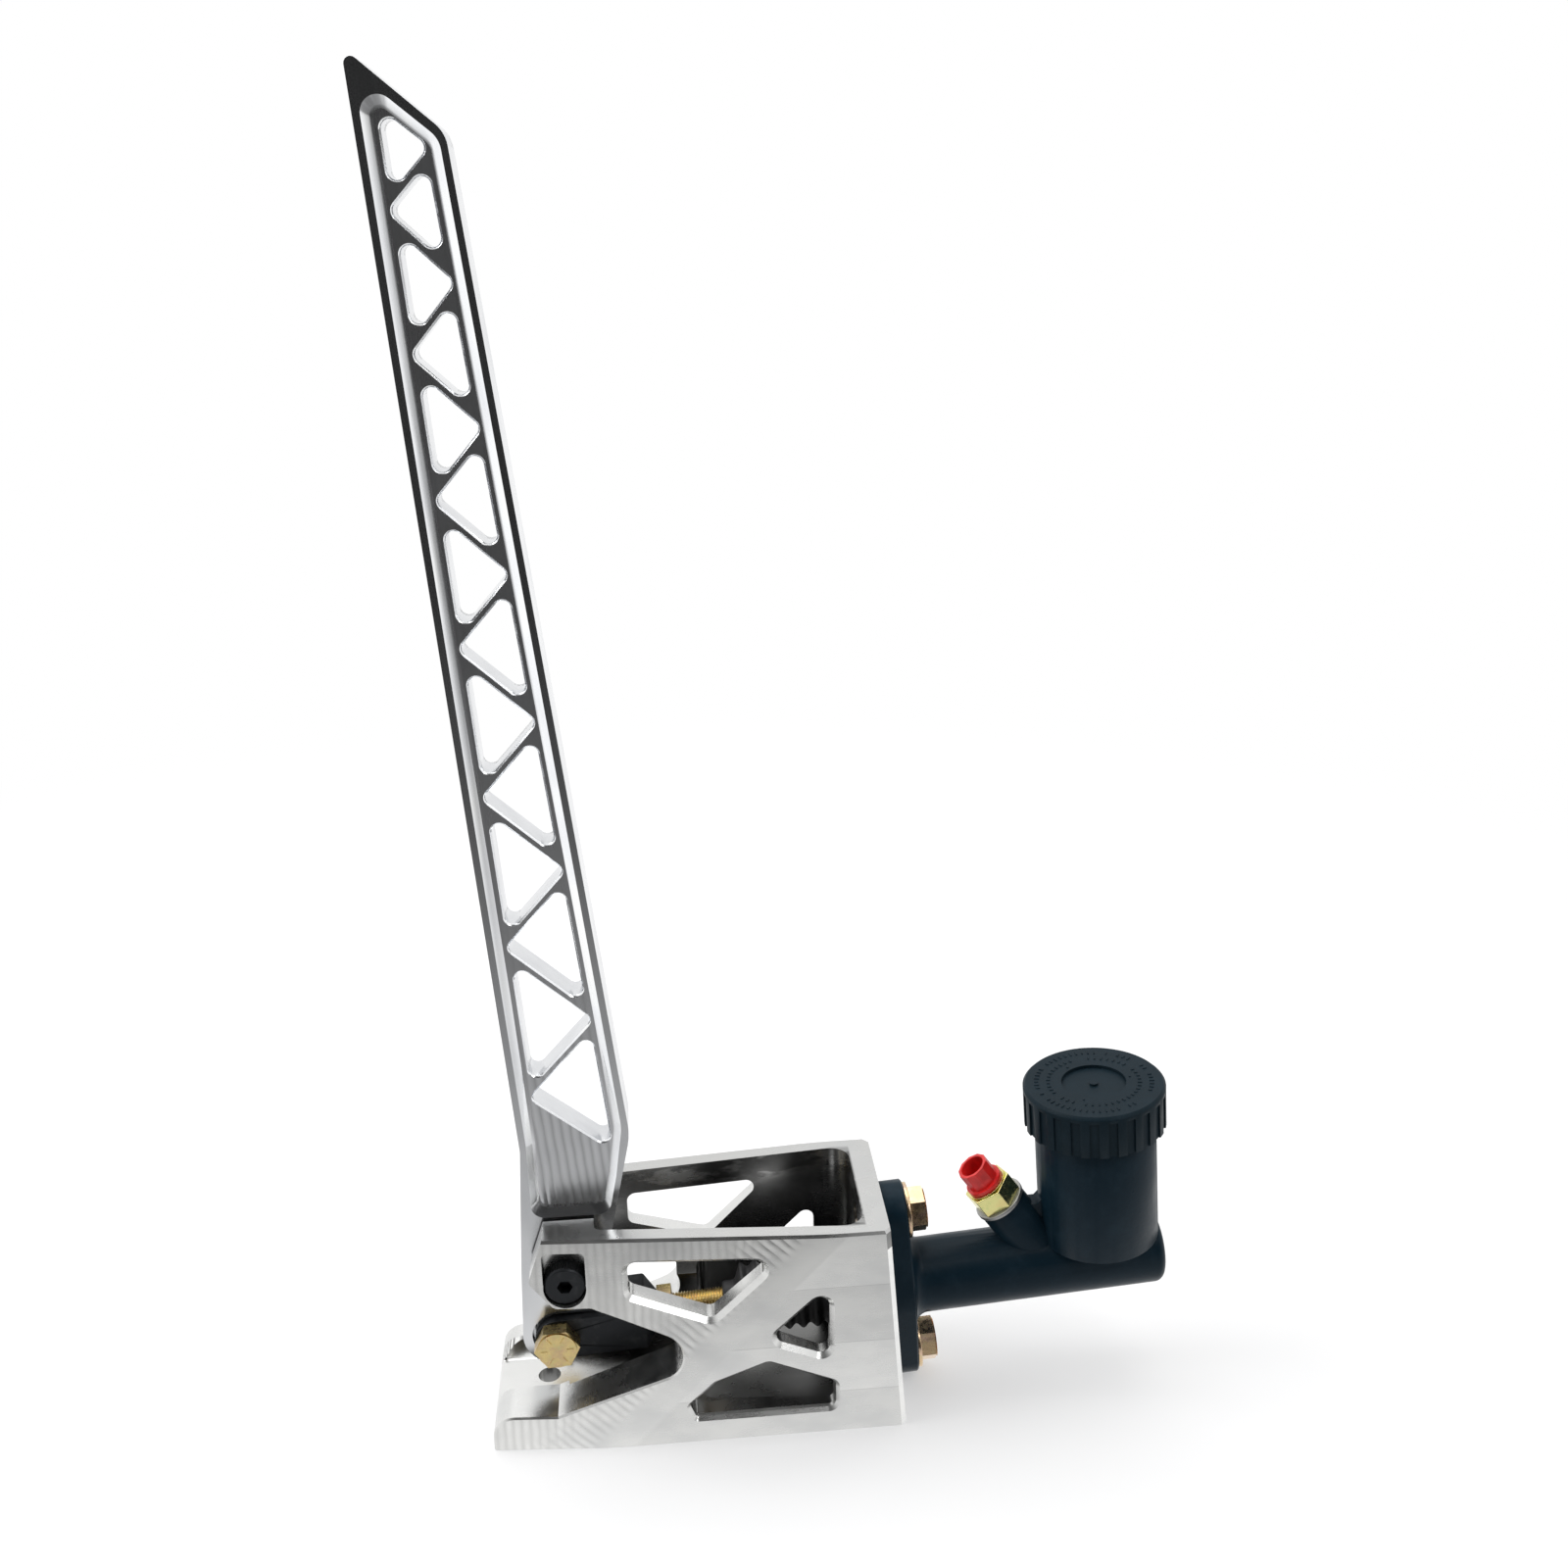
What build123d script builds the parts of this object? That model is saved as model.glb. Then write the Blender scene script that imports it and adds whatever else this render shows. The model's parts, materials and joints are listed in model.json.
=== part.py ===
"""Vertical hydraulic handbrake: billet lever, billet bracket and an integral-reservoir master cylinder.

Frame, in millimetres: X runs along the bracket from the lever to the cylinder, Z is up and Y = 0 is the
centre plane. The origin lies on the bracket's underside, straight below the lever's pivot.
"""
from build123d import *
from math import cos, hypot, radians, sin, tan
import os

os.makedirs("parts", exist_ok=True)

# ---------------------------------------------------------------- driving dimensions
TILT = 4.0                    # the cylinder's bore rises this many degrees away from the lever
PIVOT_Z = 63.7                # height of the lever's pivot
PIN_X, PIN_Z = -5.0, 32.44    # clevis bolt, below the pivot
FACE_X, FACE_Z = 116.1, 40.5  # centre of the cylinder's flange on the bracket's end face

BASE_LEFT = -28.8             # left end of the base
BASE_RIGHT = 118.93           # right end of the base, at the underside
BRACKET_H = 82.0
HALF_W = 30.5                 # half the bracket's full width
LEDGE_Z = 12.7                # top of the base's left end
SLOT_FLOOR = 9.0              # floor of the lever's slot
FLOOR_Z = 8.0                 # floor between the walls
END_WALL_X = 104.0            # where the sides give way to the end wall
WINDOW_CHAMFER = 1.7
EAR_GAP = 10.2                # half the gap between the two ears
EAR_FLOOR = 17.0              # the ears' counterbores stop this far from the centre plane
BASE_HOLE_R = 4.1             # mounting holes in the base
FRONT_HOLE_X = -10.0
REAR_HOLE_X = 86.0

LEVER_T = 16.0                # thickness of the lever
LEVER_POCKET = 2.2            # depth of the pocket in each side of the lever
ARM_T = 9.5                   # thickness of the lever between the clevis's tines
HEEL_R = 12.5

THREE_EIGHTHS = 4.7625        # radius of a 3/8 inch bolt or shoulder
HEX_3_8 = 14.29               # across the flats of a 3/8 inch bolt head
BOLT_SPACING = 57.15          # cylinder flange, bolt to bolt
FLANGE_T = 8.5
TUBE_R, TUBE_END = 13.5, 102.3
BORE_R = 9.525                # 3/4 inch bore
BORE_END = 92.0
NOSE_R, NOSE_END = 12.5, -16.5
RES_X, RES_R, RES_WALL = 80.1, 21.75, 3.0
RES_BOTTOM, RES_NECK, RES_TOP = 10.0, 57.0, 66.0
CAP_R, CAP_BOTTOM, CAP_TOP = 25.3, 56.0, 72.0
OUTLET_X, OUTLET_Z, OUTLET_LEAN = 44.1, 27.2, 31.0

C, S = cos(radians(TILT)), sin(radians(TILT))


# ---------------------------------------------------------------- placing helpers
def on_bore(x, z=0.0):
    """World point at x along the bore from the flange face and z above its axis."""
    return (FACE_X + x * C - z * S, 0, FACE_Z + x * S + z * C)


def across(x):
    """Plane square to the bore; its own Y is up the cylinder's side."""
    return Plane(origin=on_bore(x), x_dir=(0, 1, 0), z_dir=(C, 0, S))


def upright(x, z):
    """Plane square to the reservoir's axis; its own X is along the bore."""
    return Plane(origin=on_bore(x, z), x_dir=(C, 0, S), z_dir=(-S, 0, C))


def side(point):
    """Vertical plane seen from -Y, leaning with the bore; X along the bore and Y up."""
    return Plane(origin=point, x_dir=(C, 0, S), z_dir=(0, -1, 0))


def from_side(y=0.0):
    """Plane seen from -Y with X to the right and Y up, at the given world Y."""
    return Plane(origin=(0, y, 0), x_dir=(1, 0, 0), z_dir=(0, -1, 0))


def ring(plane, outer, inner, height):
    """A plain ring, for washers and bushes."""
    with BuildPart() as made:
        with BuildSketch(plane):
            Circle(outer)
            Circle(inner, mode=Mode.SUBTRACT)
        extrude(amount=height)
    return made.part


def corners(*points):
    """Vertices of the current sketch that lie on any of the given points."""
    return [v for v in vertices() if any(hypot(v.X - x, v.Y - y) < 0.3 for x, y in points)]


def save(part, label):
    part.label = label
    export_step(part, "parts/" + label + ".step")


# ---------------------------------------------------------------- bracket
outline = [
    (BASE_LEFT, 0), (BASE_RIGHT, 0), (BASE_RIGHT - BRACKET_H * tan(radians(TILT)), BRACKET_H),
    (-7.0, BRACKET_H), (-12.6, 66.0), (-4.2, 56.0), (7.2, 56.0), (54.6, 35.2), (-5.5, LEDGE_Z),
    (BASE_LEFT, LEDGE_Z),
]
diagonal = (sin(radians(43.56)), 0, cos(radians(43.56)))     # crease between the plain and thinned sides
off_diagonal = (-diagonal[2], 0, diagonal[0])
crease = Plane(origin=(21.2, -HALF_W, 0), x_dir=off_diagonal, z_dir=diagonal)
THIN_SLOPE, CREASE_R, THIN_REACH = 6.53, 96.0, 140.0
thin_x = CREASE_R * sin(radians(THIN_SLOPE))
thin_y = -CREASE_R * (1 - cos(radians(THIN_SLOPE)))
thin_far = thin_y - (THIN_REACH - thin_x) * tan(radians(THIN_SLOPE))

upper_window = [(21.7, 72.4), (73.8, 72.4), (50.5, 50.0), (21.7, 60.3)]
small_window = [(70.1, 40.5), (91.6, 60.2), (91.6, 31.4)]
lower_window = [(69.6, 30.5), (93.1, 20.3), (93.1, 10.1), (43.7, 10.1), (41.8, 14.9), (51.1, 23.6)]
channel = [(10.7, -17.2), (95.5, -24.8), (104.7, -24.8), (104.7, 24.8), (95.5, 24.8), (10.7, 17.2)]



def side_rims(part):
    """Edges round the bracket's two outer sides, where each meets something else."""
    shared = {}
    for face in part.faces():
        if face.center().Y * face.normal_at().Y > 18:
            for edge in face.edges():
                shared.setdefault(tuple(round(v, 3) for v in edge.center()), []).append(edge)
    return [edges[0] for edges in shared.values() if len(edges) == 1]


def within(edge, left, right, bottom, top):
    box = edge.bounding_box()
    return left < box.min.X and box.max.X < right and bottom < box.min.Z and box.max.Z < top


def in_windows(edge):
    boxes = [(20, 75, 48, 73.5), (69, 92.6, 30, 62), (40.5, 94.2, 9, 31.8)]
    return any(within(edge, *box) for box in boxes)


def in_notch(edge):
    """The notch's floor and inner end, and the base's rounded left end."""
    centre = edge.center()
    if edge.bounding_box().max.Z < 0.1 or centre.X > 45:
        return False
    return centre.Z < 45 or (centre.X > 19 and centre.Z < 55)


with BuildPart() as bracket:
    with BuildSketch(from_side()):
        with BuildLine():
            Polyline(*outline, close=True)
        make_face()
        fillet(corners((54.6, 35.2)), 9.0)
        fillet(corners((BASE_LEFT, LEDGE_Z)), 8.0)
        fillet(corners((-12.6, 66.0), (-4.2, 56.0)), 3.0)
    extrude(amount=HALF_W, both=True)
    # both sides are thinned towards the lever, starting at a slanting crease
    with BuildSketch(crease):
        with BuildLine():
            Polyline((thin_x, thin_y), (THIN_REACH, thin_far), (THIN_REACH, 5), (0, 5), (0, 0))
            RadiusArc((0, 0), (thin_x, thin_y), CREASE_R)
        make_face()
    thinning = extrude(amount=150, both=True, mode=Mode.SUBTRACT)
    mirror(thinning, about=Plane.XZ, mode=Mode.SUBTRACT)
    # channel between the walls, and the lever's slot through ears and floor
    with BuildSketch(Plane.XY.offset(40)):
        with BuildLine():
            Polyline(*channel, close=True)
        make_face()
        fillet(vertices().sort_by(Axis.X)[-2:], 7)
        fillet(vertices().sort_by(Axis.X)[0:2], 3)
    extrude(amount=60, mode=Mode.SUBTRACT)
    with BuildSketch(Plane.XY.offset(FLOOR_Z)):
        with BuildLine():
            Polyline((46, -20.4), *channel[1:5], (46, 20.4), close=True)
        make_face()
        fillet(vertices().sort_by(Axis.X)[-2:], 7)
        fillet(vertices().sort_by(Axis.X)[0:2], 5)
    extrude(amount=50, mode=Mode.SUBTRACT)
    with BuildSketch(Plane.XY.offset(SLOT_FLOOR)):
        with Locations((-16, 0)):
            Rectangle(60, 2 * EAR_GAP)
        with Locations((24, 0)):
            Rectangle(52, 24.6)
    extrude(amount=33, mode=Mode.SUBTRACT)
    with BuildSketch(Plane.XY.offset(41)):
        with Locations((-9, 0)):
            Rectangle(46, 2 * EAR_GAP)
    extrude(amount=60, mode=Mode.SUBTRACT)
    # round clearance in the far lip of the slot
    with BuildSketch(Plane.XY.offset(SLOT_FLOOR)):
        with Locations((-15.5, 6.5)):
            Circle(11.5)
        with Locations((-15.5, -20)):
            Rectangle(60, 42, mode=Mode.SUBTRACT)
    extrude(amount=14, mode=Mode.SUBTRACT)
    # windows through both walls
    with BuildSketch(from_side()):
        with BuildLine():
            Polyline(*upper_window, close=True)
        make_face()
        fillet(vertices(), 3.2)
    extrude(amount=40, both=True, mode=Mode.SUBTRACT)
    with BuildSketch(from_side()):
        with BuildLine():
            Polyline(*small_window, close=True)
        make_face()
        fillet(vertices(), 3.2)
    extrude(amount=40, both=True, mode=Mode.SUBTRACT)
    with BuildSketch(from_side()):
        with BuildLine():
            Polyline(*lower_window, close=True)
        make_face()
        fillet(corners((43.7, 10.1), (41.8, 14.9)), 0.8)
        fillet(corners((69.6, 30.5), (51.1, 23.6), (93.1, 20.3), (93.1, 10.1)), 2.4)
    extrude(amount=40, both=True, mode=Mode.SUBTRACT)
    # counterbored pockets for the pivot screw's head and nut
    for reach in (-1, 1):
        with BuildSketch(from_side(reach * EAR_FLOOR)):
            with Locations((0, PIVOT_Z)):
                Circle(7.45)
            with Locations((0, 70.5)):
                RectangleRounded(14.9, 13.6, 2.0)
        extrude(amount=-20 * reach, mode=Mode.SUBTRACT)
    with BuildSketch(from_side()):
        with Locations((0, PIVOT_Z)):
            Circle(THREE_EIGHTHS + 0.03)
    extrude(amount=40, both=True, mode=Mode.SUBTRACT)
    # base mounting holes
    with BuildSketch(Plane.XY):
        with Locations((FRONT_HOLE_X, 0), (REAR_HOLE_X, 0)):
            Circle(BASE_HOLE_R)
    extrude(amount=12, mode=Mode.SUBTRACT)
    # end wall: passage for the cylinder's nose, and two tapped holes for the flange bolts
    with BuildSketch(across(-30)):
        Circle(NOSE_R + 0.3)
    extrude(amount=40, mode=Mode.SUBTRACT)
    with BuildSketch(across(-30)):
        with Locations((0, BOLT_SPACING / 2), (0, -BOLT_SPACING / 2)):
            Circle(THREE_EIGHTHS + 0.03)
    extrude(amount=40, mode=Mode.SUBTRACT)
    # broken edges on the two outer sides
    rims = side_rims(bracket)
    ends = [e for e in rims if e.center().X > 112 and e.length > 50]
    chamfer(ends, 1.8)
    rims = side_rims(bracket)
    chamfer([e for e in rims if in_windows(e)], WINDOW_CHAMFER)
    rims = side_rims(bracket)
    chamfer([e for e in rims if e.bounding_box().min.Z > BRACKET_H - 0.1], 0.9)
    rims = side_rims(bracket)
    chamfer([e for e in rims if in_notch(e)], 0.6)
# the bracket is one billet, stored as four solids that touch: base, two sides and end wall
base_top, wall_start = Plane.XY.offset(SLOT_FLOOR), Plane.YZ.offset(END_WALL_X)
above = split(bracket.part, bisect_by=base_top, keep=Keep.TOP)
sides = split(above, bisect_by=wall_start, keep=Keep.BOTTOM).solids().sort_by(Axis.Y)
save(split(bracket.part, bisect_by=base_top, keep=Keep.BOTTOM), "bracket_base")
save(sides[0], "bracket_near_side")
save(sides[-1], "bracket_far_side")
save(split(above, bisect_by=wall_start, keep=Keep.TOP), "bracket_end_wall")

# ---------------------------------------------------------------- lever
RIGHT_LEAN, LEFT_LEAN = 0.1064, 0.0657


def left_edge(z):
    return -13.2 - LEFT_LEAN * (z - 113.1)


def right_edge(z):
    return 24.4 - RIGHT_LEAN * (z - 118.3)


def truss_nodes():
    """Heights of the lattice's nodes, from the top; the pitch grows a little towards the pivot."""
    heights = [448.5, 433.5, 416.3]
    pitch = 19.6
    for _ in range(12):
        heights.append(heights[-1] - pitch)
        pitch *= 1.036
    heights.append(101.5)
    return heights


def lattice_corner(height, to_right, reach):
    if to_right:
        return (right_edge(height) - 6.9 + reach, height)
    return (left_edge(height) + 7.0 - reach, height)


lever_outline = [
    (PIN_X - HEEL_R, PIN_Z), (-16.2, 59.6), (-13.1, 109.0), (-35.9, 459.3), (-9.5, 436.8), (25.0, 113.0),
    (PIN_X + HEEL_R, PIN_Z),
]
pocket_outline = [
    (-10.9, 82.0), (-10.9, 111.0), (-33.2, 453.2), (-11.4, 435.2), (22.3, 116.0), (19.5, 97.0), (16.3, 82.0),
]

pocket_floor = [
    (-8.2, 85.5), (-8.2, 111.2), (-30.4, 447.8), (-13.6, 433.9), (19.8, 115.8), (17.4, 97.6), (15.0, 85.5),
]


def round_pocket(end, shoulder, bend):
    """Round the seven corners of the lever pocket's outline."""
    spots = vertices().sort_by(Axis.Y)
    fillet(spots[0:2] + spots[-1:], end)
    fillet(corners(pocket_outline[3], pocket_floor[3]), shoulder)
    fillet(corners(pocket_outline[4], pocket_floor[4]), bend)


def lattice_rims(part):
    """Edges round the lattice's triangles, on both faces of the web."""
    found = []
    for edge in part.edges().filter_by(Plane.XZ):
        centre = edge.center()
        on_web = abs(abs(centre.Y) - (LEVER_T / 2 - LEVER_POCKET)) < 0.01
        inside = left_edge(centre.Z) + 5.6 < centre.X < right_edge(centre.Z) - 5.2
        if on_web and inside and centre.Z > 98 and edge.length < 40:
            found.append(edge)
    return found


with BuildPart() as lever:
    with BuildSketch(from_side()):
        with BuildLine():
            Polyline(*lever_outline, close=True)
        make_face()
        fillet(corners((-35.9, 459.3)), 2.0)
        fillet(corners((-9.5, 436.8)), 9.0)
        fillet(corners((25.0, 113.0)), 26.0)
        with Locations((PIN_X, PIN_Z)):
            Circle(HEEL_R)
    extrude(amount=LEVER_T / 2, both=True)
    with BuildSketch(from_side(LEVER_T / 2)):
        with BuildLine():
            Polyline(*pocket_outline, close=True)
        make_face()
        round_pocket(5.0, 7.0, 20.0)
    with BuildSketch(from_side(LEVER_T / 2 - LEVER_POCKET)):
        with BuildLine():
            Polyline(*pocket_floor, close=True)
        make_face()
        round_pocket(3.0, 5.0, 18.0)
    pocket = loft(mode=Mode.SUBTRACT)
    mirror(pocket, about=Plane.XZ, mode=Mode.SUBTRACT)
    nodes = truss_nodes()
    for k in range(1, 15):
        points_right = k % 2 == 1
        base_top = lattice_corner(nodes[k - 1], not points_right, 2.1)
        tip = lattice_corner(nodes[k], points_right, 4.3)
        base_low = lattice_corner(nodes[k + 1], not points_right, 2.1)
        with BuildSketch(from_side()):
            with BuildLine():
                Polyline(base_top, tip, base_low, close=True)
            make_face()
            offset(amount=-2.1, kind=Kind.INTERSECTION, mode=Mode.REPLACE)
            fillet(vertices(), 2.6)
        extrude(amount=LEVER_T, both=True, mode=Mode.SUBTRACT)
    chamfer(lattice_rims(lever), 0.6)
    # bore for the pivot bushes, eye for the clevis bolt, and relief for the clevis's tines
    with BuildSketch(from_side()):
        with Locations((0, PIVOT_Z)):
            Circle(7.0)
        with Locations((PIN_X, PIN_Z)):
            Circle(6.0)
    extrude(amount=LEVER_T, both=True, mode=Mode.SUBTRACT)
    for face_side in (-1, 1):
        with BuildSketch(from_side(face_side * ARM_T / 2)):
            with Locations((PIN_X, PIN_Z)):
                Circle(9.2)
            with Locations((PIN_X + 15, PIN_Z - 5.8)):
                Rectangle(30, 30)
        extrude(amount=-face_side * LEVER_T, mode=Mode.SUBTRACT)
save(lever.part, "lever")

# ---------------------------------------------------------------- pivot
with BuildPart() as pivot_bushes:
    for face_side in (-1, 1):
        with BuildSketch(from_side(face_side * 0.1)):
            with Locations((0, PIVOT_Z)):
                Circle(6.99)
                Circle(THREE_EIGHTHS + 0.04, mode=Mode.SUBTRACT)
        extrude(amount=-face_side * (LEVER_T / 2 - 0.1))
        with BuildSketch(from_side(face_side * LEVER_T / 2)):
            with Locations((0, PIVOT_Z)):
                Circle(9.5)
                Circle(THREE_EIGHTHS + 0.04, mode=Mode.SUBTRACT)
        extrude(amount=-face_side * 1.9)
save(pivot_bushes.part, "pivot_bushes")

HEAD_Y = -EAR_FLOOR
with BuildPart() as pivot_screw:
    with BuildSketch(from_side(HEAD_Y)):
        with Locations((0, PIVOT_Z)):
            Circle(7.15)
    extrude(amount=6.35)
    chamfer(pivot_screw.edges().filter_by(GeomType.CIRCLE).sort_by(Axis.Y)[0], 0.6)
    with BuildSketch(from_side(HEAD_Y - 6.35)):
        with Locations((0, PIVOT_Z)):
            RegularPolygon(2.4, 6, major_radius=False)
    extrude(amount=-3.6, mode=Mode.SUBTRACT)
    with BuildSketch(from_side(HEAD_Y)):
        with Locations((0, PIVOT_Z)):
            Circle(THREE_EIGHTHS)
    extrude(amount=-33.7)
    with BuildSketch(from_side(HEAD_Y + 33.7)):
        with Locations((0, PIVOT_Z)):
            Circle(3.95)
    extrude(amount=-7.4)
    chamfer(pivot_screw.edges().filter_by(GeomType.CIRCLE).sort_by(Axis.Y)[-1], 0.6)
save(pivot_screw.part, "pivot_screw")

with BuildPart() as pivot_washer:
    with BuildSketch(from_side(EAR_FLOOR)):
        with Locations((0, PIVOT_Z)):
            Circle(7.2)
            Circle(4.15, mode=Mode.SUBTRACT)
    extrude(amount=-1.6)
save(pivot_washer.part, "pivot_washer")

with BuildPart() as pivot_nut:
    with BuildSketch(from_side(EAR_FLOOR + 1.6)):
        with Locations((0, PIVOT_Z)):
            RegularPolygon(6.35, 6, major_radius=False)
            Circle(3.98, mode=Mode.SUBTRACT)
    extrude(amount=-5.0)
save(pivot_nut.part, "pivot_nut")

# ---------------------------------------------------------------- clevis and pushrod
PIN = (PIN_X, 0, PIN_Z)
CLEVIS_HALF_W, CLEVIS_H, CLEVIS_L = 11.0, 16.0, 36.5

with BuildPart() as clevis:
    with BuildSketch(side(PIN)):
        Circle(CLEVIS_H / 2)
        with Locations((CLEVIS_L / 2, 0)):
            Rectangle(CLEVIS_L, CLEVIS_H)
        chamfer(vertices().sort_by(Axis.X)[-2:], 4.5)
    extrude(amount=CLEVIS_HALF_W, both=True)
    with BuildSketch(Plane(origin=PIN, x_dir=(C, 0, S), z_dir=(-S, 0, C))):
        with Locations((4, 0)):
            Rectangle(26, ARM_T + 0.6)
        with Locations((CLEVIS_L, CLEVIS_HALF_W), (CLEVIS_L, -CLEVIS_HALF_W)):
            Rectangle(7, 7, rotation=45)
    extrude(amount=20, both=True, mode=Mode.SUBTRACT)
    with BuildSketch(side(PIN)):
        Circle(THREE_EIGHTHS + 0.03)
    extrude(amount=20, both=True, mode=Mode.SUBTRACT)
    with BuildSketch(Plane(origin=PIN, x_dir=(0, 1, 0), z_dir=(C, 0, S))):
        Circle(THREE_EIGHTHS + 0.03)
    extrude(amount=60, mode=Mode.SUBTRACT)
save(clevis.part, "clevis")

with BuildPart() as clevis_sleeve:
    with BuildSketch(from_side()):
        with Locations((PIN_X, PIN_Z)):
            Circle(5.99)
            Circle(THREE_EIGHTHS + 0.05, mode=Mode.SUBTRACT)
    extrude(amount=ARM_T / 2, both=True)
save(clevis_sleeve.part, "clevis_sleeve")

with BuildPart() as clevis_bolt:
    with BuildSketch(from_side(-CLEVIS_HALF_W)):
        with Locations((PIN_X, PIN_Z)):
            RegularPolygon(HEX_3_8 / 2, 6, major_radius=False, rotation=4)
    extrude(amount=6.0)
    with BuildSketch(from_side(-CLEVIS_HALF_W - 6.0)):
        with Locations((PIN_X, PIN_Z)):
            Circle(12)
            Circle(HEX_3_8 / 2 - 0.1, mode=Mode.SUBTRACT)
    extrude(amount=-0.5, taper=-60, mode=Mode.SUBTRACT)
    with BuildSketch(from_side(-CLEVIS_HALF_W)):
        with Locations((PIN_X, PIN_Z)):
            Circle(THREE_EIGHTHS)
    extrude(amount=-31.5)
    chamfer(clevis_bolt.edges().filter_by(GeomType.CIRCLE).sort_by(Axis.Y)[-1], 0.7)
save(clevis_bolt.part, "clevis_bolt")

with BuildPart() as clevis_nut:
    with BuildSketch(from_side(CLEVIS_HALF_W)):
        with Locations((PIN_X, PIN_Z)):
            RegularPolygon(HEX_3_8 / 2, 6, major_radius=False, rotation=4)
            Circle(THREE_EIGHTHS + 0.03, mode=Mode.SUBTRACT)
    extrude(amount=-8.0)
save(clevis_nut.part, "clevis_nut")

with BuildPart() as jam_nut:
    with BuildSketch(Plane(origin=PIN, x_dir=(0, 1, 0), z_dir=(C, 0, S)).offset(CLEVIS_L)):
        RegularPolygon(HEX_3_8 / 2, 6, major_radius=False)
        Circle(THREE_EIGHTHS + 0.03, mode=Mode.SUBTRACT)
    extrude(amount=5.4)
save(jam_nut.part, "jam_nut")

# from the pin to the ball's tip, in the piston's socket
ROD_TIP = (FACE_X - PIN_X) / C - (FACE_Z - PIN_Z - (FACE_X - PIN_X) * tan(radians(TILT))) * S - 1.1
with BuildPart() as pushrod:
    with BuildSketch(Plane(origin=PIN, x_dir=(0, 1, 0), z_dir=(C, 0, S)).offset(19)):
        Circle(THREE_EIGHTHS)
    extrude(amount=72)
    with BuildSketch(Plane(origin=PIN, x_dir=(0, 1, 0), z_dir=(C, 0, S)).offset(91)):
        Circle(3.4)
    extrude(amount=ROD_TIP - 95)
    with Locations(Plane(origin=PIN, x_dir=(0, 1, 0), z_dir=(C, 0, S)).offset(ROD_TIP - 4)):
        Sphere(4.0)
save(pushrod.part, "pushrod")

# rubber boot over the pushrod, drawn as half a section and turned about the bore
boot_outer = [(-60.7, 6.8), (-56.0, 6.8)]
boot_inner = [(-60.7, 5.4), (-56.6, 5.4)]
FOLDS, FOLD_PITCH = 7, 5.2
for fold in range(FOLDS):
    start = -56.0 + fold * FOLD_PITCH
    swell = 12.9 + 0.2 * fold
    boot_outer += [(start + FOLD_PITCH / 2, swell), (start + FOLD_PITCH, swell - 2.4)]
    boot_inner += [(start + FOLD_PITCH / 2, swell - 1.5), (start + FOLD_PITCH, swell - 3.9)]
boot_outer += [(-18.0, 14.3), (-12.8, 14.3)]
boot_inner += [(-17.2, 12.6), (-12.8, 12.6)]
with BuildPart() as boot:
    with BuildSketch(side(on_bore(0))):
        with BuildLine():
            Polyline(*boot_outer, *reversed(boot_inner), close=True)
        make_face()
    revolve(axis=Axis(on_bore(0), (C, 0, S)))
save(boot.part, "boot")

# ---------------------------------------------------------------- master cylinder body
lean_x, lean_z = -sin(radians(OUTLET_LEAN)), cos(radians(OUTLET_LEAN))


def on_outlet(distance):
    """Plane square to the outlet, this far out from the boss's face."""
    centre = on_bore(OUTLET_X + distance * lean_x, OUTLET_Z + distance * lean_z)
    out = (lean_x * C - lean_z * S, 0, lean_x * S + lean_z * C)
    return Plane(origin=centre, x_dir=(0, 1, 0), z_dir=out)


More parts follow.
